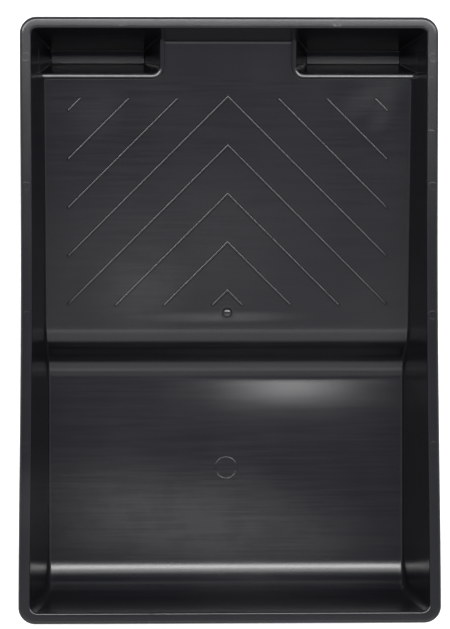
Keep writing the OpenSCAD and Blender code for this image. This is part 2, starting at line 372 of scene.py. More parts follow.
def side_columns(first, last):
    """The right side wall above rows first to last: fillet arcs, then a fan up to the rim."""
    path = np.cumsum([0] + [math.dist(a[:2], b[:2]) for a, b in zip(PROFILE, PROFILE[1:])])
    turn_row = len(PROFILE) - 1
    top_start, top_end = STRIPS[0][0][-1][1], CREASE_Y
    inner, normal, outer = [], [], []
    for k in range(first, last + 1):
        strip_in, strip_n, strip_out = STRIPS[k]
        end = strip_in[-1]
        if k <= turn_row:
            top_y = lerp(top_start, top_end, path[k] / path[turn_row])
        else:
            top_y = ALL_ROWS[k][0]
        points, normals, backs = list(strip_in), list(strip_n), list(strip_out)
        for step in range(1, SIDE_STEPS + 1):
            t = step / SIDE_STEPS
            y, z = lerp(end[1], top_y, t), lerp(end[2], SEAM_Z, t)
            point = np.array([side_x(y, z), y, z])
            facing = side_normal(y, z)
            if k == 0:
                point, facing, back = end, strip_n[-1], strip_out[-1]
            else:
                back = point - WALL * facing
                if step == SIDE_STEPS:
                    back = back + np.array([0, 0, SEAM_Z - back[2]])
            points.append(point)
            normals.append(facing)
            backs.append(back)
        inner.append(points)
        normal.append(normals)
        outer.append(backs)
    return np.array(inner), np.array(normal), np.array(outer)


def sink_tilt(x, y):
    """How far the floor's face leans in the sag in front of the step: most of all close to it."""
    near = (FLOOR_BACK - y) / SINK_LENGTH
    if not 0 < near < 1:
        return 0.0
    along = smooth(near * 18) * (1 - smooth((near - 0.2) / 0.8))
    return SINK_TILT * along * (1 - smooth(abs(x - SINK_X) / SINK_HALF)) ** 0.8


def cut_at_seam(back, facing):
    """Slides a point of an end wall's outer face along it, to the height where the crown starts."""
    return back + np.array([0, facing[2], -facing[1]]) * (SEAM_Z - back[2]) / -facing[1]


def profile_rows(first, last, columns=48):
    """The part of the profile's own surface between the fillets of both side walls."""
    inner, normal, outer = [], [], []
    for k in range(first, last + 1):
        y, z, slope, _ = ALL_ROWS[k]
        facing = np.array([0, *square_to(slope)])
        right, right_back = STRIPS[k][0][0], STRIPS[k][2][0]
        left, left_back = flipped(right, -1.0), flipped(right_back, -1.0)
        row, backs = [left], [left_back]
        for x in np.linspace(left[0], right[0], columns + 1)[1:-1]:
            point = np.array([x, y, z])
            row.append(point)
            back = point - WALL * facing
            backs.append(cut_at_seam(back, facing) if k == 0 else back)
        row.append(right)
        backs.append(right_back)
        inner.append(row)
        leans = [slope - sink_tilt(p[0], y) if slope == 0 else slope for p in row]
        normal.append([np.array([0, *square_to(a)]) for a in leans])
        outer.append(backs)
    return np.array(inner), np.array(normal), np.array(outer)


def both_sides(name, node, columns):
    """Makes the right side's part from its grids of points, normals and backs, and its mirror image."""
    for side, flip in SIDES:
        shell = Shell().add_grid(*(flipped(grid, flip) for grid in columns))
        make_shell(f"{side}_{name}", shell, f"{side}_{node}")


def build_basin():
    regions = [row[3] for row in ALL_ROWS]
    front_end = regions.index("reservoir_floor") - 1
    floor_end = regions.index("step") - 1
    step_end = len(PROFILE) - 1
    last = len(ALL_ROWS) - 1
    make_shell("tray_front_wall", Shell().add_grid(*profile_rows(0, front_end)), "front_wall")
    make_shell("tray_reservoir_floor", Shell().add_grid(*profile_rows(front_end, floor_end)),
               "reservoir_floor")
    make_shell("tray_step", Shell().add_grid(*profile_rows(floor_end, step_end)), "step")
    both_sides("reservoir_wall", "reservoir_side", side_columns(0, floor_end))
    both_sides("ramp_wall", "ramp_side", side_columns(floor_end, last))


# ---- the ramp plate and back wall
UP_SLOPE = np.array([0, math.cos(RAMP_SLOPE), math.sin(RAMP_SLOPE)])
RAMP_N = np.array([0, *square_to(RAMP_SLOPE)])
CREASE = np.array([0, CREASE_Y, CREASE_Z])


def on_ramp(x, up, out=0.0):
    """A point on the ramp: x across, up the slope from the crease, and out of its face."""
    return CREASE + np.array([x, 0, 0]) + up * UP_SLOPE + out * RAMP_N


def up_ramp(y):
    """How far up the slope a level distance y lies."""
    return (y - CREASE_Y) / math.cos(RAMP_SLOPE)


BACK_LEAN = math.atan2(SEAM_Z - RAMP_TOP, OPEN_Y - RAMP_BACK)
BACK_REACH = BACK_FILLET * math.tan((BACK_LEAN - RAMP_SLOPE) / 2)
NUB_UP = up_ramp((nub_low[1] + nub_high[1]) / 2)
DIMPLE_R, DIMPLE_DEEP = 5.6, 0.55  # the shallow dish round the gate nub
BACK_HALF = MOUTH_X - DAM_W  # half width of the wall between the two pockets
ALMOST = 0.998  # the polygon that stands for a circle lies a little inside it


def on_plate(x, up):
    """Whether a point is inside the plate: not in the nub's dish, and not behind a pocket's dam."""
    if math.hypot(x, up - NUB_UP) < DIMPLE_R * ALMOST:
        return False
    limit = up_ramp(DAM_FRONT)
    if up < limit:
        return abs(x) < edge_x(CREASE_Y + up * math.cos(RAMP_SLOPE))
    if abs(x) <= BACK_HALF:
        return True
    corner_x, corner_up = BACK_HALF + DAM_CORNER, limit + DAM_CORNER
    if abs(x) > corner_x or up > corner_up:
        return False
    return math.hypot(abs(x) - corner_x, up - corner_up) > DAM_CORNER * ALMOST


def dimple():
    """The shallow dish round the gate nub: points and normals, by turn and by share of its radius."""
    inner, normal = [], []
    for a in np.linspace(0, 2 * math.pi, 49)[:-1]:
        away = np.array([math.cos(a), 0, 0]) + math.sin(a) * UP_SLOPE
        line, facing = [], []
        for r in np.linspace(0.0, 1.0, 9):
            deep = -DIMPLE_DEEP * (1 + math.cos(math.pi * r)) / 2
            fall = DIMPLE_DEEP * math.pi * math.sin(math.pi * r) / 2 / DIMPLE_R
            line.append(on_ramp(DIMPLE_R * r * math.cos(a), NUB_UP + DIMPLE_R * r * math.sin(a), deep))
            facing.append(unit(RAMP_N - fall * away))
        inner.append(line)
        normal.append(facing)
    return np.array(inner), np.array(normal)


def build_ramp():
    """The plate under the ribs: its outline and the dish's edge, filled with flat faces."""
    right = [(strip[0][0][0], up_ramp(strip[0][0][1])) for strip in STRIPS[len(PROFILE) - 1:]]
    corner = arc((BACK_HALF + DAM_CORNER, DAM_FRONT + DAM_CORNER), DAM_CORNER, -HALF_PI, -math.pi, 15)
    right += [(x, up_ramp(y)) for x, y in corner]
    right.append((BACK_HALF, up_ramp(RAMP_BACK) - BACK_REACH))
    outline = right + [(-x, y) for x, y in reversed(right)]
    circle = arc((0, NUB_UP), DIMPLE_R, 0, 2 * math.pi, 49)[:-1]
    inside = [(x, up) for x in np.linspace(-100, 100, 9) for up in np.linspace(25, 150, 6)]
    flat = [Vector(p) for p in outline + circle + inside]
    n, m = len(outline), len(circle)
    loops = [list(range(n)), list(range(n, n + m))]
    edges = [(loop[k], loop[(k + 1) % len(loop)]) for loop in loops for k in range(len(loop))]
    filled = delaunay_2d_cdt(flat, edges, [], 0, 1e-4)
    points, faces = filled[0], filled[2]

    def kept(face):
        return on_plate(*(sum(points[k][axis] for k in face) / len(face) for axis in (0, 1)))

    plate = Shell()
    plate.add_plate([on_ramp(p[0], p[1]) for p in points], [list(f) for f in faces if kept(f)],
                    RAMP_N, WALL)
    inner, normal = dimple()
    plate.add_grid(inner, normal, inner - WALL * RAMP_N, closed=True)
    make_shell("tray_ramp", plate, "ramp")


def build_back_wall():
    """The fillet at the top of the ramp and the wall above it, between the two pockets."""
    up0 = up_ramp(RAMP_BACK) - BACK_REACH
    start = on_ramp(0, up0)
    centre = start + BACK_FILLET * RAMP_N
    rows = []
    for t in np.linspace(0, 1, 9):
        a = lerp(RAMP_SLOPE, BACK_LEAN, t)
        facing = np.array([0, *square_to(a)])
        rows.append((centre - BACK_FILLET * facing, facing, centre - (BACK_FILLET + WALL) * facing))
    foot, facing, _ = rows[-1]
    top = np.array([0, OPEN_Y, SEAM_Z])
    for t in np.linspace(0, 1, 9)[1:]:
        point = lerp(foot, top, t)
        back = point - WALL * facing
        rows.append((point, facing, cut_at_seam(back, facing) if t == 1 else back))
    across = np.linspace(-BACK_HALF, BACK_HALF, 25)
    shift = np.array([[x, 0, 0] for x in across])
    inner = np.array([row[0] + shift for row in rows])
    normal = np.array([[row[1]] * len(across) for row in rows])
    outer = np.array([row[2] + shift for row in rows])
    make_shell("tray_back_wall", Shell().add_grid(inner, normal, outer), "back_wall")


# ---- the hollow feet
def rounded_path(corners, radii, steps=6):
    """Points along a path of straight lines with each inner corner rounded to its radius."""
    points = [np.array(corners[0])]
    for k in range(1, len(corners) - 1):
        here = np.array(corners[k])
        before, after = np.array(corners[k - 1]) - here, np.array(corners[k + 1]) - here
        short = min(np.linalg.norm(before), np.linalg.norm(after))
        radius = min(radii[k - 1], 0.45 * short)
        if radius < 1e-3:
            points.extend([here] * (steps + 1))
            continue
        before, after = unit(before), unit(after)
        half = math.acos(max(-1, min(1, before @ after))) / 2
        centre = here + (before + after) / np.linalg.norm(before + after) * radius / math.sin(half)
        a, b = (centre - (here + v * radius / math.tan(half)) for v in (before, after))
        points.extend(centre - slerp(a / radius, b / radius, t) * radius
                      for t in np.linspace(0, 1, steps + 1))
    points.append(np.array(corners[-1]))
    return points


def pocket_sides(z):
    """Plan of the right pocket's four walls at a height: inner x, outer x, front y, back y."""
    low = (min(z, MOUTH_Z) - WALL) / (MOUTH_Z - WALL)
    high = (z - WALL) / (SEAM_Z - WALL)
    return (lerp(POCKET_X0, MOUTH_X, low), lerp(POCKET_X1, OPEN_X, high),
            lerp(POCKET_Y0, MOUTH_Y, low), lerp(POCKET_Y1, OPEN_Y, high))


def under_ramp(y):
    """Height of the ramp's underside, which stays the same from just behind the back wall's foot."""
    return surface_z(min(y, RAMP_BACK + 2)) - WALL / math.cos(RAMP_SLOPE)


def back_plane_y(z):
    """Where the leaning back wall's face is at a height."""
    return RAMP_BACK + (z - RAMP_TOP) / math.tan(BACK_LEAN)


def upper_path(z, behind=0.0):
    """Plan at a height of the wall round the pocket, from the ramp's side wall to the back wall."""
    x0, x1, y0, y1 = pocket_sides(max(z, MOUTH_Z))
    side = side_x(MOUTH_Y, z)
    wall_y = back_plane_y(z)
    corners = [(side + behind, DAM_FRONT), (side + behind, y0 - behind),
               (x1 + behind, y0 - behind), (x1 + behind, y1 + behind),
               (x0 - behind, y1 + behind), (x0 - behind, wall_y + behind),
               (BACK_HALF, wall_y + behind)]
    top = smooth((z - MOUTH_Z) / (SEAM_Z - MOUTH_Z))
    jog_r = max(JOG_EDGE - behind, 0.15)
    radii = [jog_r, POCKET_EDGE + behind, lerp(POCKET_CORNER, BACK_CORNER_R, top) + behind,
             POCKET_EDGE + behind, jog_r]
    return rounded_path(corners, radii)


def upper_wall():
    """The wall above ramp level round the right pocket."""
    low_z = [under_ramp(p[1]) for p in upper_path(MOUTH_Z)]
    levels = np.linspace(0, 1, 13)
    inner, outer = [], []
    for j, low in enumerate(low_z):
        line, backs = [], []
        for t in levels:
            z = lerp(low, SEAM_Z, t)
            line.append((*upper_path(z)[j], z))
            backs.append((*upper_path(z, WALL)[j], z))
        inner.append(line)
        outer.append(backs)
    return np.array(inner), np.array(outer)


def path_normals(grid):
    """Normals of the upright wall: across its path in plan, and leaning with its draft."""
    along = np.gradient(grid, axis=0)
    up = np.gradient(grid, axis=1)
    for k in range(1, len(grid)):
        flat = np.linalg.norm(along[k], axis=1) < 1e-6
        along[k][flat] = along[k - 1][flat]
    normal = np.cross(up, along)
    size = np.linalg.norm(normal, axis=2, keepdims=True)
    return normal / np.maximum(size, 1e-9)


FOOT_FILLET = 0.8  # round the floor of a pocket
CUP_TURN = math.radians(79.5)  # the fillet turns from the floor to the leaning walls


def cup_path(z, inset=0.0):
    """Plan of the pocket at a height, as a closed path from its front outer corner."""
    x0, x1, y0, y1 = pocket_sides(z)
    x0, x1, y0, y1 = x0 + inset, x1 - inset, y0 + inset, y1 - inset
    grow = smooth((z - WALL) / (MOUTH_Z - WALL))
    middle = ((x0 + x1) / 2, y0)
    corners = [middle, (x1, y0), (x1, y1), (x0, y1), (x0, y0), middle]
    at_mouth = (POCKET_EDGE, POCKET_CORNER, POCKET_EDGE, DAM_CORNER - DAM_W)
    return rounded_path(corners, [lerp(POCKET_LOW_R, r, grow) for r in at_mouth])[:-1]


def cup_grid():
    """The pocket below ramp level, from its floor up: points, normals and points behind."""
    tops = [under_ramp(p[1]) for p in cup_path(MOUTH_Z)]
    reach = FOOT_FILLET * math.tan(CUP_TURN / 2)
    rise = FOOT_FILLET * (1 - math.cos(CUP_TURN))
    grid = []
    for j, top in enumerate(tops):
        line = []
        for a in np.linspace(0, CUP_TURN, 7)[:-1]:
            inset = reach - FOOT_FILLET * math.sin(a)
            z = WALL + FOOT_FILLET * (1 - math.cos(a))
            line.append((*cup_path(WALL, inset)[j], z))
        for t in np.linspace(0, 1, 13):
            z = lerp(WALL + rise, top, t)
            line.append((*cup_path(z)[j], z))
        grid.append(line)
    grid = np.array(grid)
    along = np.roll(grid, -1, 0) - np.roll(grid, 1, 0)
    up = np.gradient(grid, axis=1)
    normal = np.cross(up, along)
    normal /= np.maximum(np.linalg.norm(normal, axis=2, keepdims=True), 1e-9)
    normal[:, 0] = (0, 0, 1)
    outer = grid - WALL * normal
    outer[:, -1, 2] = grid[:, -1, 2]
    return grid, normal, outer


def build_feet():
    """Each foot is two closed shells: its pocket with a floor, and the wall above ramp level."""
    inner, outer = upper_wall()
    normal = path_normals(inner)
    for side, flip in SIDES:
        cup_in, cup_n, cup_out = (flipped(grid, flip) for grid in cup_grid())
        cup = Shell().add_grid(cup_in, cup_n, cup_out, closed=True)
        floor_ring = cup_in[:, 0]
        cup.add_plate(floor_ring, [list(range(len(floor_ring)))], np.array([0, 0, 1.0]), WALL)
        make_shell(f"{side}_foot_pocket", cup, f"{side}_foot")
        wall = Shell().add_grid(*(flipped(grid, flip) for grid in (inner, normal, outer)))
        make_shell(f"{side}_foot_wall", wall, f"{side}_foot")


def dam_plan():
    """The right dam's inner edge, from the side wall to the back wall: points and the way out."""
    plan = []
    x_end = side_x(MOUTH_Y, surface_z(MOUTH_Y) + DAM_H)
    inner_r = DAM_CORNER - DAM_W
    centre = np.array([MOUTH_X + inner_r, MOUTH_Y + inner_r])
    for x in np.linspace(x_end, centre[0], 15)[:-1]:
        plan.append((np.array([x, MOUTH_Y]), np.array([0.0, -1.0])))
    plan += [(centre + inner_r * away, away) for away in arc((0, 0), 1, -HALF_PI, -math.pi, 13)]
    y_end = back_plane_y(RAMP_TOP + DAM_H)
    for y in np.linspace(centre[1], y_end, 5)[1:]:
        plan.append((np.array([MOUTH_X, y]), np.array([-1.0, 0.0])))
    return plan


def dam_section():
    """(distance out from the pocket, height) up the pocket's side, over the top and down to the ramp."""
    flare = 0.9  # fillet where the bead meets the ramp
    crest = 2.5  # how far out the top is highest
    section = [(0.0, -WALL), (0.0, 0.0)]
    section += [(0.0, DAM_H - 1.0), (0.04, DAM_H - 0.75), (0.16, DAM_H - 0.6)]
    section += [(u, DAM_H - (crest - u) ** 2 / 10) for u in np.linspace(0.35, crest, 10)]
    section += [(2.63, DAM_H - 0.04), (2.74, DAM_H - 0.16), (DAM_W, DAM_H - 0.4)]
    section += arc((DAM_W + flare, flare), flare, math.pi, 3 * HALF_PI, 6)
    section += [(DAM_W, 0.0), (DAM_W, -WALL)]
    return section


def build_dams():
    """The raised bead along the front and inner edges of each pocket."""
    overlap = 0.3  # how far its ends reach into the side and back walls
    plan, section = dam_plan(), dam_section()
    for side, flip in SIDES:
        points, faces = [], []
        n = len(section)
        for at, away in plan:
            for out, height in section:
                x, y = at + out * away
                z = surface_z(y) + height
                if at is plan[0][0]:
                    x = side_x(y, max(z, surface_z(y))) + overlap
                if at is plan[-1][0]:
                    y = back_plane_y(max(z, RAMP_TOP)) + overlap
                points.append((x * flip, y, z))
        for k in range(len(plan) - 1):
            for j in range(n):
                face = [(k + 1) * n + j, (k + 1) * n + (j + 1) % n, k * n + (j + 1) % n, k * n + j]
                faces.append(face if flip > 0 else face[::-1])
        first, last = list(range(n)), [(len(plan) - 1) * n + j for j in range(n)][::-1]
        faces += [first, last] if flip > 0 else [first[::-1], last[::-1]]
        make_smooth(f"{side}_pocket_dam", points, faces, (f"{side}_dam",))


# ---- the rim
def rounded_rectangle(half_x, half_y, front_r, back_r, arc_steps=14, side_steps=36, end_steps=24):
    """Points round a rectangle, counter-clockwise from the front right corner's start."""
    spots = [(half_x, -half_y, front_r), (half_x, half_y, back_r),
             (-half_x, half_y, back_r), (-half_x, -half_y, front_r)]
    corners = []
    for k, (x, y, r) in enumerate(spots):
        centre = (x - math.copysign(r, x), y - math.copysign(r, y))
        corners.append(arc(centre, r, (k - 1) * HALF_PI, k * HALF_PI, arc_steps + 1))
    points = []
    for k, corner in enumerate(corners):
        points.extend(corner)
        after = corners[(k + 1) % 4][0]
        steps = end_steps if k % 2 else side_steps
        points.extend(lerp(corner[-1], after, t) for t in np.linspace(0, 1, steps + 1)[1:-1])
    return points


CROWN_DROP = 0.07  # how far the crown falls from its inner to its outer edge
CROWN_IN = 1.5  # radius of its inner edge
CROWN_OUT = 2.6  # radius of its outer shoulder
LIP_R = 0.5  # radius at the bottom of the rim's outer face
BEVEL = 0.3  # bevel on the inside of that lip


def crown_z(out):
    """Height of the crown at a distance out from the opening."""
    if out < CROWN_IN:
        return TOP - CROWN_IN + math.sqrt(max(CROWN_IN ** 2 - (CROWN_IN - out) ** 2, 0))
    shoulder = out - (RIM_W - CROWN_OUT)
    if shoulder > 0:
        return TOP - CROWN_DROP - CROWN_OUT + math.sqrt(max(CROWN_OUT ** 2 - shoulder ** 2, 0))
    return TOP - CROWN_DROP * ((out - CROWN_IN) / (RIM_W - CROWN_OUT - CROWN_IN)) ** 2


def rim_section():
    """(distance out from the opening, height) round the rim's section."""
    low = rim_low[2]
    points = [(0.0, SEAM_Z)]
    points += arc((CROWN_IN, TOP - CROWN_IN), CROWN_IN, math.pi, HALF_PI, 9)
    edge = RIM_W - CROWN_OUT
    points += [(lerp(CROWN_IN, edge, t), TOP - CROWN_DROP * t * t) for t in np.linspace(0, 1, 9)[1:]]
    tilt = math.atan2(2 * CROWN_DROP, edge - CROWN_IN)
    shoulder_z = TOP - CROWN_DROP - CROWN_OUT
    points += arc((edge, shoulder_z), CROWN_OUT, HALF_PI - tilt, 0, 9)
    points += arc((RIM_W - LIP_R, low + LIP_R), LIP_R, 0, -HALF_PI, 4)
    points += [(RIM_W - WALL + BEVEL, low), (RIM_W - WALL, low + BEVEL)]
    inside_r = CROWN_OUT - WALL
    points += arc((edge, SEAM_Z - inside_r), inside_r, 0, HALF_PI, 5)
    return points


def build_rim():
    inner = rounded_rectangle(OPEN_X, OPEN_Y, CORNER_R, BACK_CORNER_R)
    outer = rounded_rectangle(HALF_W, HALF_L, RIM_CORNER_R, RIM_CORNER_R)
    section = rim_section()
    n, rings = len(section), len(inner)
    points = [(*lerp(a, b, u / RIM_W), z) for a, b in zip(inner, outer) for u, z in section]
    faces = []
    for i in range(rings):
        for j in range(n):
            a, b = i * n, (i + 1) % rings * n
            faces.append([a + (j + 1) % n, b + (j + 1) % n, b + j, a + j])
    make_smooth("tray_rim", points, faces, ("rim",), sharp_above=50)


# ---- ribs and moulding marks
END_ROUND = 0.6  # the ends round off over this share of a line's width
TIP_SHARES = np.array([0.12, 0.3, 0.55, 0.85])  # extra points along a rounded end
THINNEST = 0.05  # size left at the very end, so that no face closes up
SUNK = 0.02  # how far every line reaches into its face


def round_section(width, height, steps=12):
    """Section of a raised line: half round, with a small flare where it meets its face."""
    flare = 0.12 * width
    top = [(-math.cos(a) * width / 2, height * (0.1 + 0.9 * math.sin(a)))
           for a in (math.pi * k / steps for k in range(steps + 1))]
    return [(-width / 2 - flare, 0.0), *top, (width / 2 + flare, 0.0)]


def rib_run(path, width, height, place, closed=False):
    """A raised line along a path of flat points: its mesh points and faces."""
    section = round_section(width, height)
    n, count = len(section), len(path)
    headings = [unit(after - here) for here, after in zip(path, path[1:] + path[:1])]
    points = []
    for k, here in enumerate(path):
        into = headings[k - 1] if k or closed else headings[0]
        out = headings[k] if k < count - 1 or closed else into
        middle = unit(into + out)
        across = np.array([middle[1], -middle[0]]) / max(0.3, middle @ out)
        near = 1.0
        if not closed:
            ends = min(math.dist(here, path[0]), math.dist(here, path[-1]))
            share = min(ends / (width * END_ROUND), 1)
            near = max(THINNEST, math.sqrt(max(0.0, 1 - (1 - share) ** 2)))
        for u, h in section:
            spot = here + across * u * near
            points.append(place(spot[0], spot[1], h * near - SUNK))
    faces = []
    for k in range(count if closed else count - 1):
        a, b = k * n, (k + 1) % count * n
        faces.extend([a + j, a + j + 1, b + j + 1, b + j] for j in range(n - 1))
        faces.append([a + n - 1, a, b, b + n - 1])
    if not closed:
        faces.append(list(range(n))[::-1])
        faces.append([(count - 1) * n + j for j in range(n)])
    return points, faces


RIB_PITCH, RIB_COUNT, RIB_FIRST = 32.8, 8, 10.7  # up the slope, from the field's low edge
RIB_W, RIB_H = 2.0, 0.95
RIB_FIELD_X = ribs_high[0]
RIB_FIELD_LOW = up_ramp(ribs_low[1])
RIB_FIELD_TOP = up_ramp(ribs_high[1])


def build_ribs():
    """Chevrons that point up the ramp; where the apex is past the field, there are two separate arms."""
    for k in range(RIB_COUNT):
        apex = RIB_FIELD_LOW + RIB_FIRST + k * RIB_PITCH
        start_x = max(0.0, apex - RIB_FIELD_TOP)
        if start_x < RIB_W:
            start_x = 0.0  # arms that come this close to each other meet
        end_x = min(RIB_FIELD_X, apex - RIB_FIELD_LOW)
        along = [start_x] + list(np.linspace(start_x, end_x, 40))[1:]
        tips = TIP_SHARES * END_ROUND * RIB_W
        along = sorted(set([*along, *(start_x + tips), *(end_x - tips)]))
        arm = [np.array([x, apex - x]) for x in along]
        left = [np.array([-p[0], p[1]]) for p in arm]
        if start_x == 0:
            points, faces = rib_run(left[::-1] + arm[1:], RIB_W, RIB_H, on_ramp)
        else:
            points, faces = rib_run(arm, RIB_W, RIB_H, on_ramp)
            more, more_faces = rib_run(left[::-1], RIB_W, RIB_H, on_ramp)
            faces += [[i + len(points) for i in face] for face in more_faces]
            points += more
        make_smooth(f"chevron_rib_{k + 1}", points, faces, ("chevron_ribs",), sharp_above=60)


def build_ejector_ring():
    width, height = 1.0, 0.22
    centre = (ring_low[:2] + ring_high[:2]) / 2
    radius = (ring_high[0] - ring_low[0] - width) / 2
    path = arc(centre, radius, 0, 2 * math.pi, 73)[:-1]
    points, faces = rib_run(path, width, height, lambda x, y, z: np.array([x, y, WALL + z]),
                            closed=True)
    make_smooth("reservoir_ejector_ring", points, faces, ("ejector_ring",), sharp_above=60)


def lathe(profile, place, steps=40):
    """Turns a list of (radius, height) about an upright axis; the ends lie on the axis."""
    points, faces = [], []
    n = len(profile)
    for k in range(steps):
        a = 2 * math.pi * k / steps
        points.extend(place(r * math.cos(a), r * math.sin(a), h) for r, h in profile[1:-1])
    m = n - 2
    points += [place(0, 0, profile[0][1]), place(0, 0, profile[-1][1])]
    low, high = steps * m, steps * m + 1
    for k in range(steps):
        a, b = k * m, (k + 1) % steps * m
        faces.extend([a + j, b + j, b + j + 1, a + j + 1] for j in range(m - 1))
        faces.append([low, b, a])
        faces.append([high, a + m - 1, b + m - 1])
    return points, faces


def build_gate_nub():
    """The stub where the plastic went in: a low dome whose top leans a little to one side."""
    spread, foot, rise, sunk = 0.5, 0.1, 2.0, 0.7
    shoulder, slant = 1.2, 0.25  # the height from which it leans, and by how much
    radius = (nub_high[0] - nub_low[0]) / 2 + spread
    profile = [(0, -sunk), (radius + 0.2, -sunk), (radius, foot)]
    profile += [(radius * math.cos(a), foot + rise * math.sin(a)) for a in np.linspace(0.15, 1.5, 12)]
    profile.append((0, foot + rise))

    def place(x, y, h):
        lean = max(0.0, h - shoulder) * slant
        return on_ramp(x + lean, NUB_UP + y - lean, h)

    points, faces = lathe(profile, place)
    make_smooth("sprue_nub", points, faces, ("gate_nub",), sharp_above=50)


MARK_X = 72.0  # the two marks on the back rim, right and left
MARKS_Y = (175.0, 89.0, 3.0, -84.0)  # those on each side rim
MARK_R, MARK_RING = 3.1, 0.04  # radius, and height of the ring at the edge
CLEAREST = 1  # the mark on the back rim, on the right, stands out most
CLEAREST_R, CLEAREST_RING = 3.4, 0.1


def build_pin_marks():
    """Shallow round marks on the crown where the mould's pins met it."""
    middle = RIM_W / 2
    spots = [(-MARK_X, OPEN_Y + middle), (MARK_X, OPEN_Y + middle)]
    spots += [(side * (OPEN_X + middle), y) for side in (-1, 1) for y in MARKS_Y]
    for k, (x, y) in enumerate(spots):
        radius, ring = (CLEAREST_R, CLEAREST_RING) if k == CLEAREST else (MARK_R, MARK_RING)
        profile = [(0, -0.4), (radius - 0.1, -0.4), (radius, -0.02), (radius - 0.3, ring),
                   (radius - 0.6, 0.01), (1.2, -0.02), (0, -0.03)]
        outward = unit([x, 0] if abs(x) > OPEN_X else [0, y])

        def place(a, b, h, x=x, y=y, outward=outward):
            away = a * outward[0] + b * outward[1]
            return np.array([x + a, y + b, crown_z(middle + away) + h])

        points, faces = lathe(profile, place, 32)
        make_smooth(f"rim_pin_mark_{k + 1}", points, faces, (), sharp_above=60)


def build_witness_lines():
    """Where parts of the mould met: two thin lines over the right crown, two marks on the front's edge."""
    for k, y in enumerate((162.0, 126.5)):
        path = [np.array([u, 0.0]) for u in np.linspace(0.8, 5.4, 12)]
        points, faces = rib_run(path, 0.9, 0.12,
                                lambda u, v, h: np.array([OPEN_X + u, y + v, crown_z(u) + h]))
        make_smooth(f"rim_witness_line_{k + 1}", points, faces, (), sharp_above=60)
    for k, x in enumerate((-52.0, 52.5)):
        path = [np.array([u, 0.0]) for u in np.linspace(0.3, 1.8, 8)]
        points, faces = rib_run(path, 1.5, 0.25,
                                lambda u, v, h: np.array([x + v, -OPEN_Y - u, crown_z(u) + h]))
        make_smooth(f"rim_edge_mark_{k + 1}", points, faces, (), sharp_above=60)


# ---- material
# Soft patches of painted reflection, lighter colour where the tray reflects its lights: (x, y, half width,
# half length, turn in degrees, height, half height), strength.
# The last two are painted light on the floors of the pockets, and the others go through every height.
PAINTED_REFLECTIONS = [
    ((-26.0, -138.0, 160.0, 52.0, -9.0), 1.0),
    ((-60.0, 18.0, 44.0, 40.0, 25.0), 0.35),
    ((-30.0, 50.0, 120.0, 70.0, 0.0), 0.22),
    ((-6.0, 2.0, 70.0, 5.0, 0.5), 0.9),
    ((98.0, 152.0, 34.0, 15.0, 30.0), 0.4),
    ((104.0, 138.0, 10.0, 22.0, -35.0), 0.25),
    ((-88.0, 140.0, 30.0, 22.0, 20.0), 0.2),
    ((-87.5, 180.0, 60.0, 14.0, 0.0, WALL, 8.0), 0.8),
    ((87.5, 180.0, 60.0, 14.0, 0.0, WALL, 8.0), 1.4),
]
PLAIN = (0.0044, 0.0045, 0.0059, 1)  # the black itself, under haze, and in a patch of painted reflection
HAZY = (0.0066, 0.0067, 0.0081, 1)
REFLECTION_GREY = (0.0300, 0.0300, 0.0310, 1)


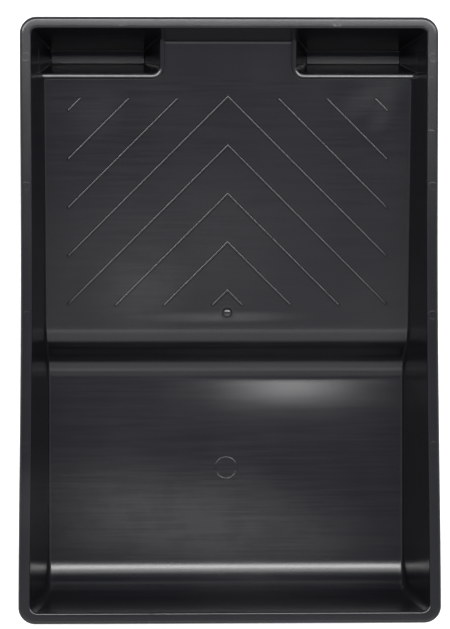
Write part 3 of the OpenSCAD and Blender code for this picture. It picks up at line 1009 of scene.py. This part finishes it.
def make_plastic():
    """Semi-gloss black polypropylene with flow lines, a faint cloudy bloom, fine scratches and painted
    patches of reflection.
    """
    material = bpy.data.materials.new("black_moulded_plastic")
    material.use_nodes = True
    nodes, links = material.node_tree.nodes, material.node_tree.links
    shader = nodes["Principled BSDF"]
    place = nodes.new("ShaderNodeTexCoord").outputs["Object"]

    def fill(node, inputs):
        """Sets each input of a node to a constant, or links it to a socket."""
        for name, value in inputs.items():
            if isinstance(value, bpy.types.NodeSocket):
                links.new(value, node.inputs[name])
            else:
                node.inputs[name].default_value = value
        return node

    def noise(scale, size, detail=4.0, roughness=0.55):
        stretched = fill(nodes.new("ShaderNodeMapping"), {"Scale": scale, "Vector": place})
        node = fill(nodes.new("ShaderNodeTexNoise"), {
            "Vector": stretched.outputs["Vector"], "Scale": size, "Detail": detail,
            "Roughness": roughness})
        return node.outputs["Fac"]

    def ramp(value, low, high, to_low, to_high, kind="LINEAR"):
        node = nodes.new("ShaderNodeMapRange")
        node.interpolation_type = kind
        fill(node, {"Value": value, "From Min": low, "From Max": high, "To Min": to_low, "To Max": to_high})
        return node.outputs["Result"]

    def combine(operation, a, b):
        node = nodes.new("ShaderNodeMath")
        node.operation = operation
        return fill(node, {0: a, 1: b}).outputs["Value"]

    # The flow lines fade out on the side walls and in the pockets
    across = fill(nodes.new("ShaderNodeSeparateXYZ"), {"Vector": place})
    inside = ramp(combine("ABSOLUTE", across.outputs["X"], 0.0), 0.118, 0.125, 1.0, 0.0)
    inside = combine("MULTIPLY", inside, ramp(across.outputs["Y"], 0.160, 0.172, 1.0, 0.1))

    def painted_reflection_patch(x, y, half_x, half_y, bend=0.0, z=0.0, half_z=1.0e6):
        """A soft patch of painted reflection, at every height unless one is given."""
        shift = nodes.new("ShaderNodeMapping")
        shift.vector_type = "TEXTURE"
        fill(shift, {"Vector": place, "Location": (x * MM, y * MM, z * MM),
                     "Rotation": (0, 0, math.radians(bend)),
                     "Scale": (half_x * MM, half_y * MM, half_z * MM)})
        size = nodes.new("ShaderNodeVectorMath")
        size.operation = "LENGTH"
        fill(size, {0: shift.outputs["Vector"]})
        return ramp(size.outputs["Value"], 0.0, 1.0, 1.0, 0.0, "SMOOTHSTEP")

    streaks = noise((7.0, 200.0, 110.0), 3.0)
    bloom = noise((1.0, 1.0, 1.0), 9.0, 3.0)
    cloud = noise((1.0, 1.0, 1.0), 42.0, 5.0, 0.6)
    grain = noise((1.0, 1.0, 1.0), 900.0, 2.0)
    lines = combine("MULTIPLY", combine("SUBTRACT", streaks, 0.5), inside)
    haze = ramp(combine("ADD", lines, bloom), 0.38, 0.66, 0.0, 1.0)
    # Painted reflections: lighter colour laid over the black where the tray reflects its lights, mottled by
    # the flow lines
    painted_reflections = None
    for settings, strength in PAINTED_REFLECTIONS:
        reflection_patch = combine("MULTIPLY", painted_reflection_patch(*settings), strength)
        painted_reflections = reflection_patch if painted_reflections is None else combine("ADD", painted_reflections, reflection_patch)
    painted_reflections = combine("MULTIPLY", painted_reflections, ramp(combine("ADD", cloud, lines), 0.35, 0.65, 0.82, 1.14))
    colour = nodes.new("ShaderNodeMix")
    colour.data_type = "RGBA"
    fill(colour, {"A": PLAIN, "B": HAZY, "Factor": haze})
    # Mixes the painted reflection colour over the black
    bright = nodes.new("ShaderNodeMix")
    bright.data_type = "RGBA"
    fill(bright, {"A": colour.outputs["Result"], "B": REFLECTION_GREY, "Factor": painted_reflections})
    rough = combine("ADD", ramp(lines, -0.15, 0.15, 0.212, 0.228), ramp(bloom, 0.4, 0.65, 0.0, 0.025))
    bump = fill(nodes.new("ShaderNodeBump"), {
        "Strength": 0.035, "Distance": 0.0002,
        "Height": combine("ADD", lines, combine("MULTIPLY", grain, 0.12))})
    fill(shader, {"Base Color": bright.outputs["Result"], "Roughness": rough, "IOR": 1.49,
                  "Normal": bump.outputs["Normal"]})
    return material


def make_floor_material():
    material = bpy.data.materials.new("studio_floor")
    material.use_nodes = True
    shader = material.node_tree.nodes["Principled BSDF"]
    shader.inputs["Base Color"].default_value = (0.9, 0.9, 0.9, 1)
    shader.inputs["Roughness"].default_value = 0.8
    shader.inputs["Emission Color"].default_value = (1, 1, 1, 1)
    shader.inputs["Emission Strength"].default_value = 0.6
    return material


# ---- camera, light and floor
VIEW_HEIGHT = 2.54  # from the rim up to the camera
VIEW_SHIFT = -0.099  # the camera stands a little to the left
AIM = Vector((-0.0033, 0.0038, TOP * MM))  # the point at the middle of the picture
FRAME_LENGTH = 0.4191  # what the picture's long side covers at the rim
ROLL = 0.0012  # the camera is turned by less than a tenth of a degree


def make_camera():
    data = bpy.data.cameras.new("camera")
    camera = bpy.data.objects.new("camera", data)
    camera.location = AIM + Vector((VIEW_SHIFT, 0, VIEW_HEIGHT))
    towards = AIM - camera.location
    backward = -towards.normalized()
    right = Vector((ROLL, 1, 0)).cross(backward).normalized()
    upward = backward.cross(right)
    camera.rotation_euler = Matrix((right, upward, backward)).transposed().to_euler()
    data.lens = data.sensor_width * towards.length / FRAME_LENGTH
    bpy.context.scene.collection.objects.link(camera)
    bpy.context.scene.camera = camera


LIGHT_REACH = 2.4  # from the tray to the middle of every softbox
SOFTBOXES = [
    # name, tilt from straight up, bearing from +X, half width, half height (degrees), radiance
    ("back_key", 20, 90, 40, 5, 18.0),
    ("back_spread", 31, 90, 40, 7, 3.8),
    ("back_low", 80, 90, 40, 9, 0.7),
    ("front_top", 18, 270, 38, 8, 0.9),
    ("front_fill", 36, 270, 40, 6, 2.0),
    ("front_low", 59, 270, 40, 16, 1.15),
    ("overhead", 0.01, 90, 6, 5, 0.2),
    ("right_fill", 60, 0, 30, 14, 0.8),
    ("left_fill", 60, 180, 30, 14, 0.7),
]


def softbox(name, tilt, bearing, half_width, half_height, radiance):
    """A soft rectangular light that faces the tray from the direction given."""
    tilt, bearing = math.radians(tilt), math.radians(bearing)
    place = LIGHT_REACH * Vector((math.sin(tilt) * math.cos(bearing), math.sin(tilt) * math.sin(bearing),
                                  math.cos(tilt)))
    data = bpy.data.lights.new(name, "AREA")
    data.shape = "RECTANGLE"
    data.size = 2 * LIGHT_REACH * math.tan(math.radians(half_width))
    data.size_y = 2 * LIGHT_REACH * math.tan(math.radians(half_height))
    data.energy = radiance * math.pi * data.size * data.size_y
    light = bpy.data.objects.new(name, data)
    light.location = place
    light.rotation_euler = (-place).to_track_quat("-Z", "Y").to_euler()
    bpy.context.scene.collection.objects.link(light)


def make_studio():
    mesh = bpy.data.meshes.new("studio_floor")
    mesh.from_pydata([(-4, -4, -0.0005), (4, -4, -0.0005), (4, 4, -0.0005), (-4, 4, -0.0005)], [],
                     [(0, 1, 2, 3)])
    floor = bpy.data.objects.new("studio_floor", mesh)
    mesh.materials.append(make_floor_material())
    bpy.context.scene.collection.objects.link(floor)
    for settings in SOFTBOXES:
        softbox(*settings)
    world = bpy.data.worlds.new("studio")
    world.use_nodes = True
    world.node_tree.nodes["Background"].inputs["Color"].default_value = (0.7, 0.85, 1.4, 1)
    world.node_tree.nodes["Background"].inputs["Strength"].default_value = 0.06
    bpy.context.scene.world = world
    bpy.context.scene.view_settings.view_transform = "Standard"


make_camera()
plastic = make_plastic()
build_basin()
build_ramp()
build_back_wall()
build_feet()
build_dams()
build_rim()
build_ribs()
build_ejector_ring()
build_gate_nub()
build_pin_marks()
build_witness_lines()
make_studio()
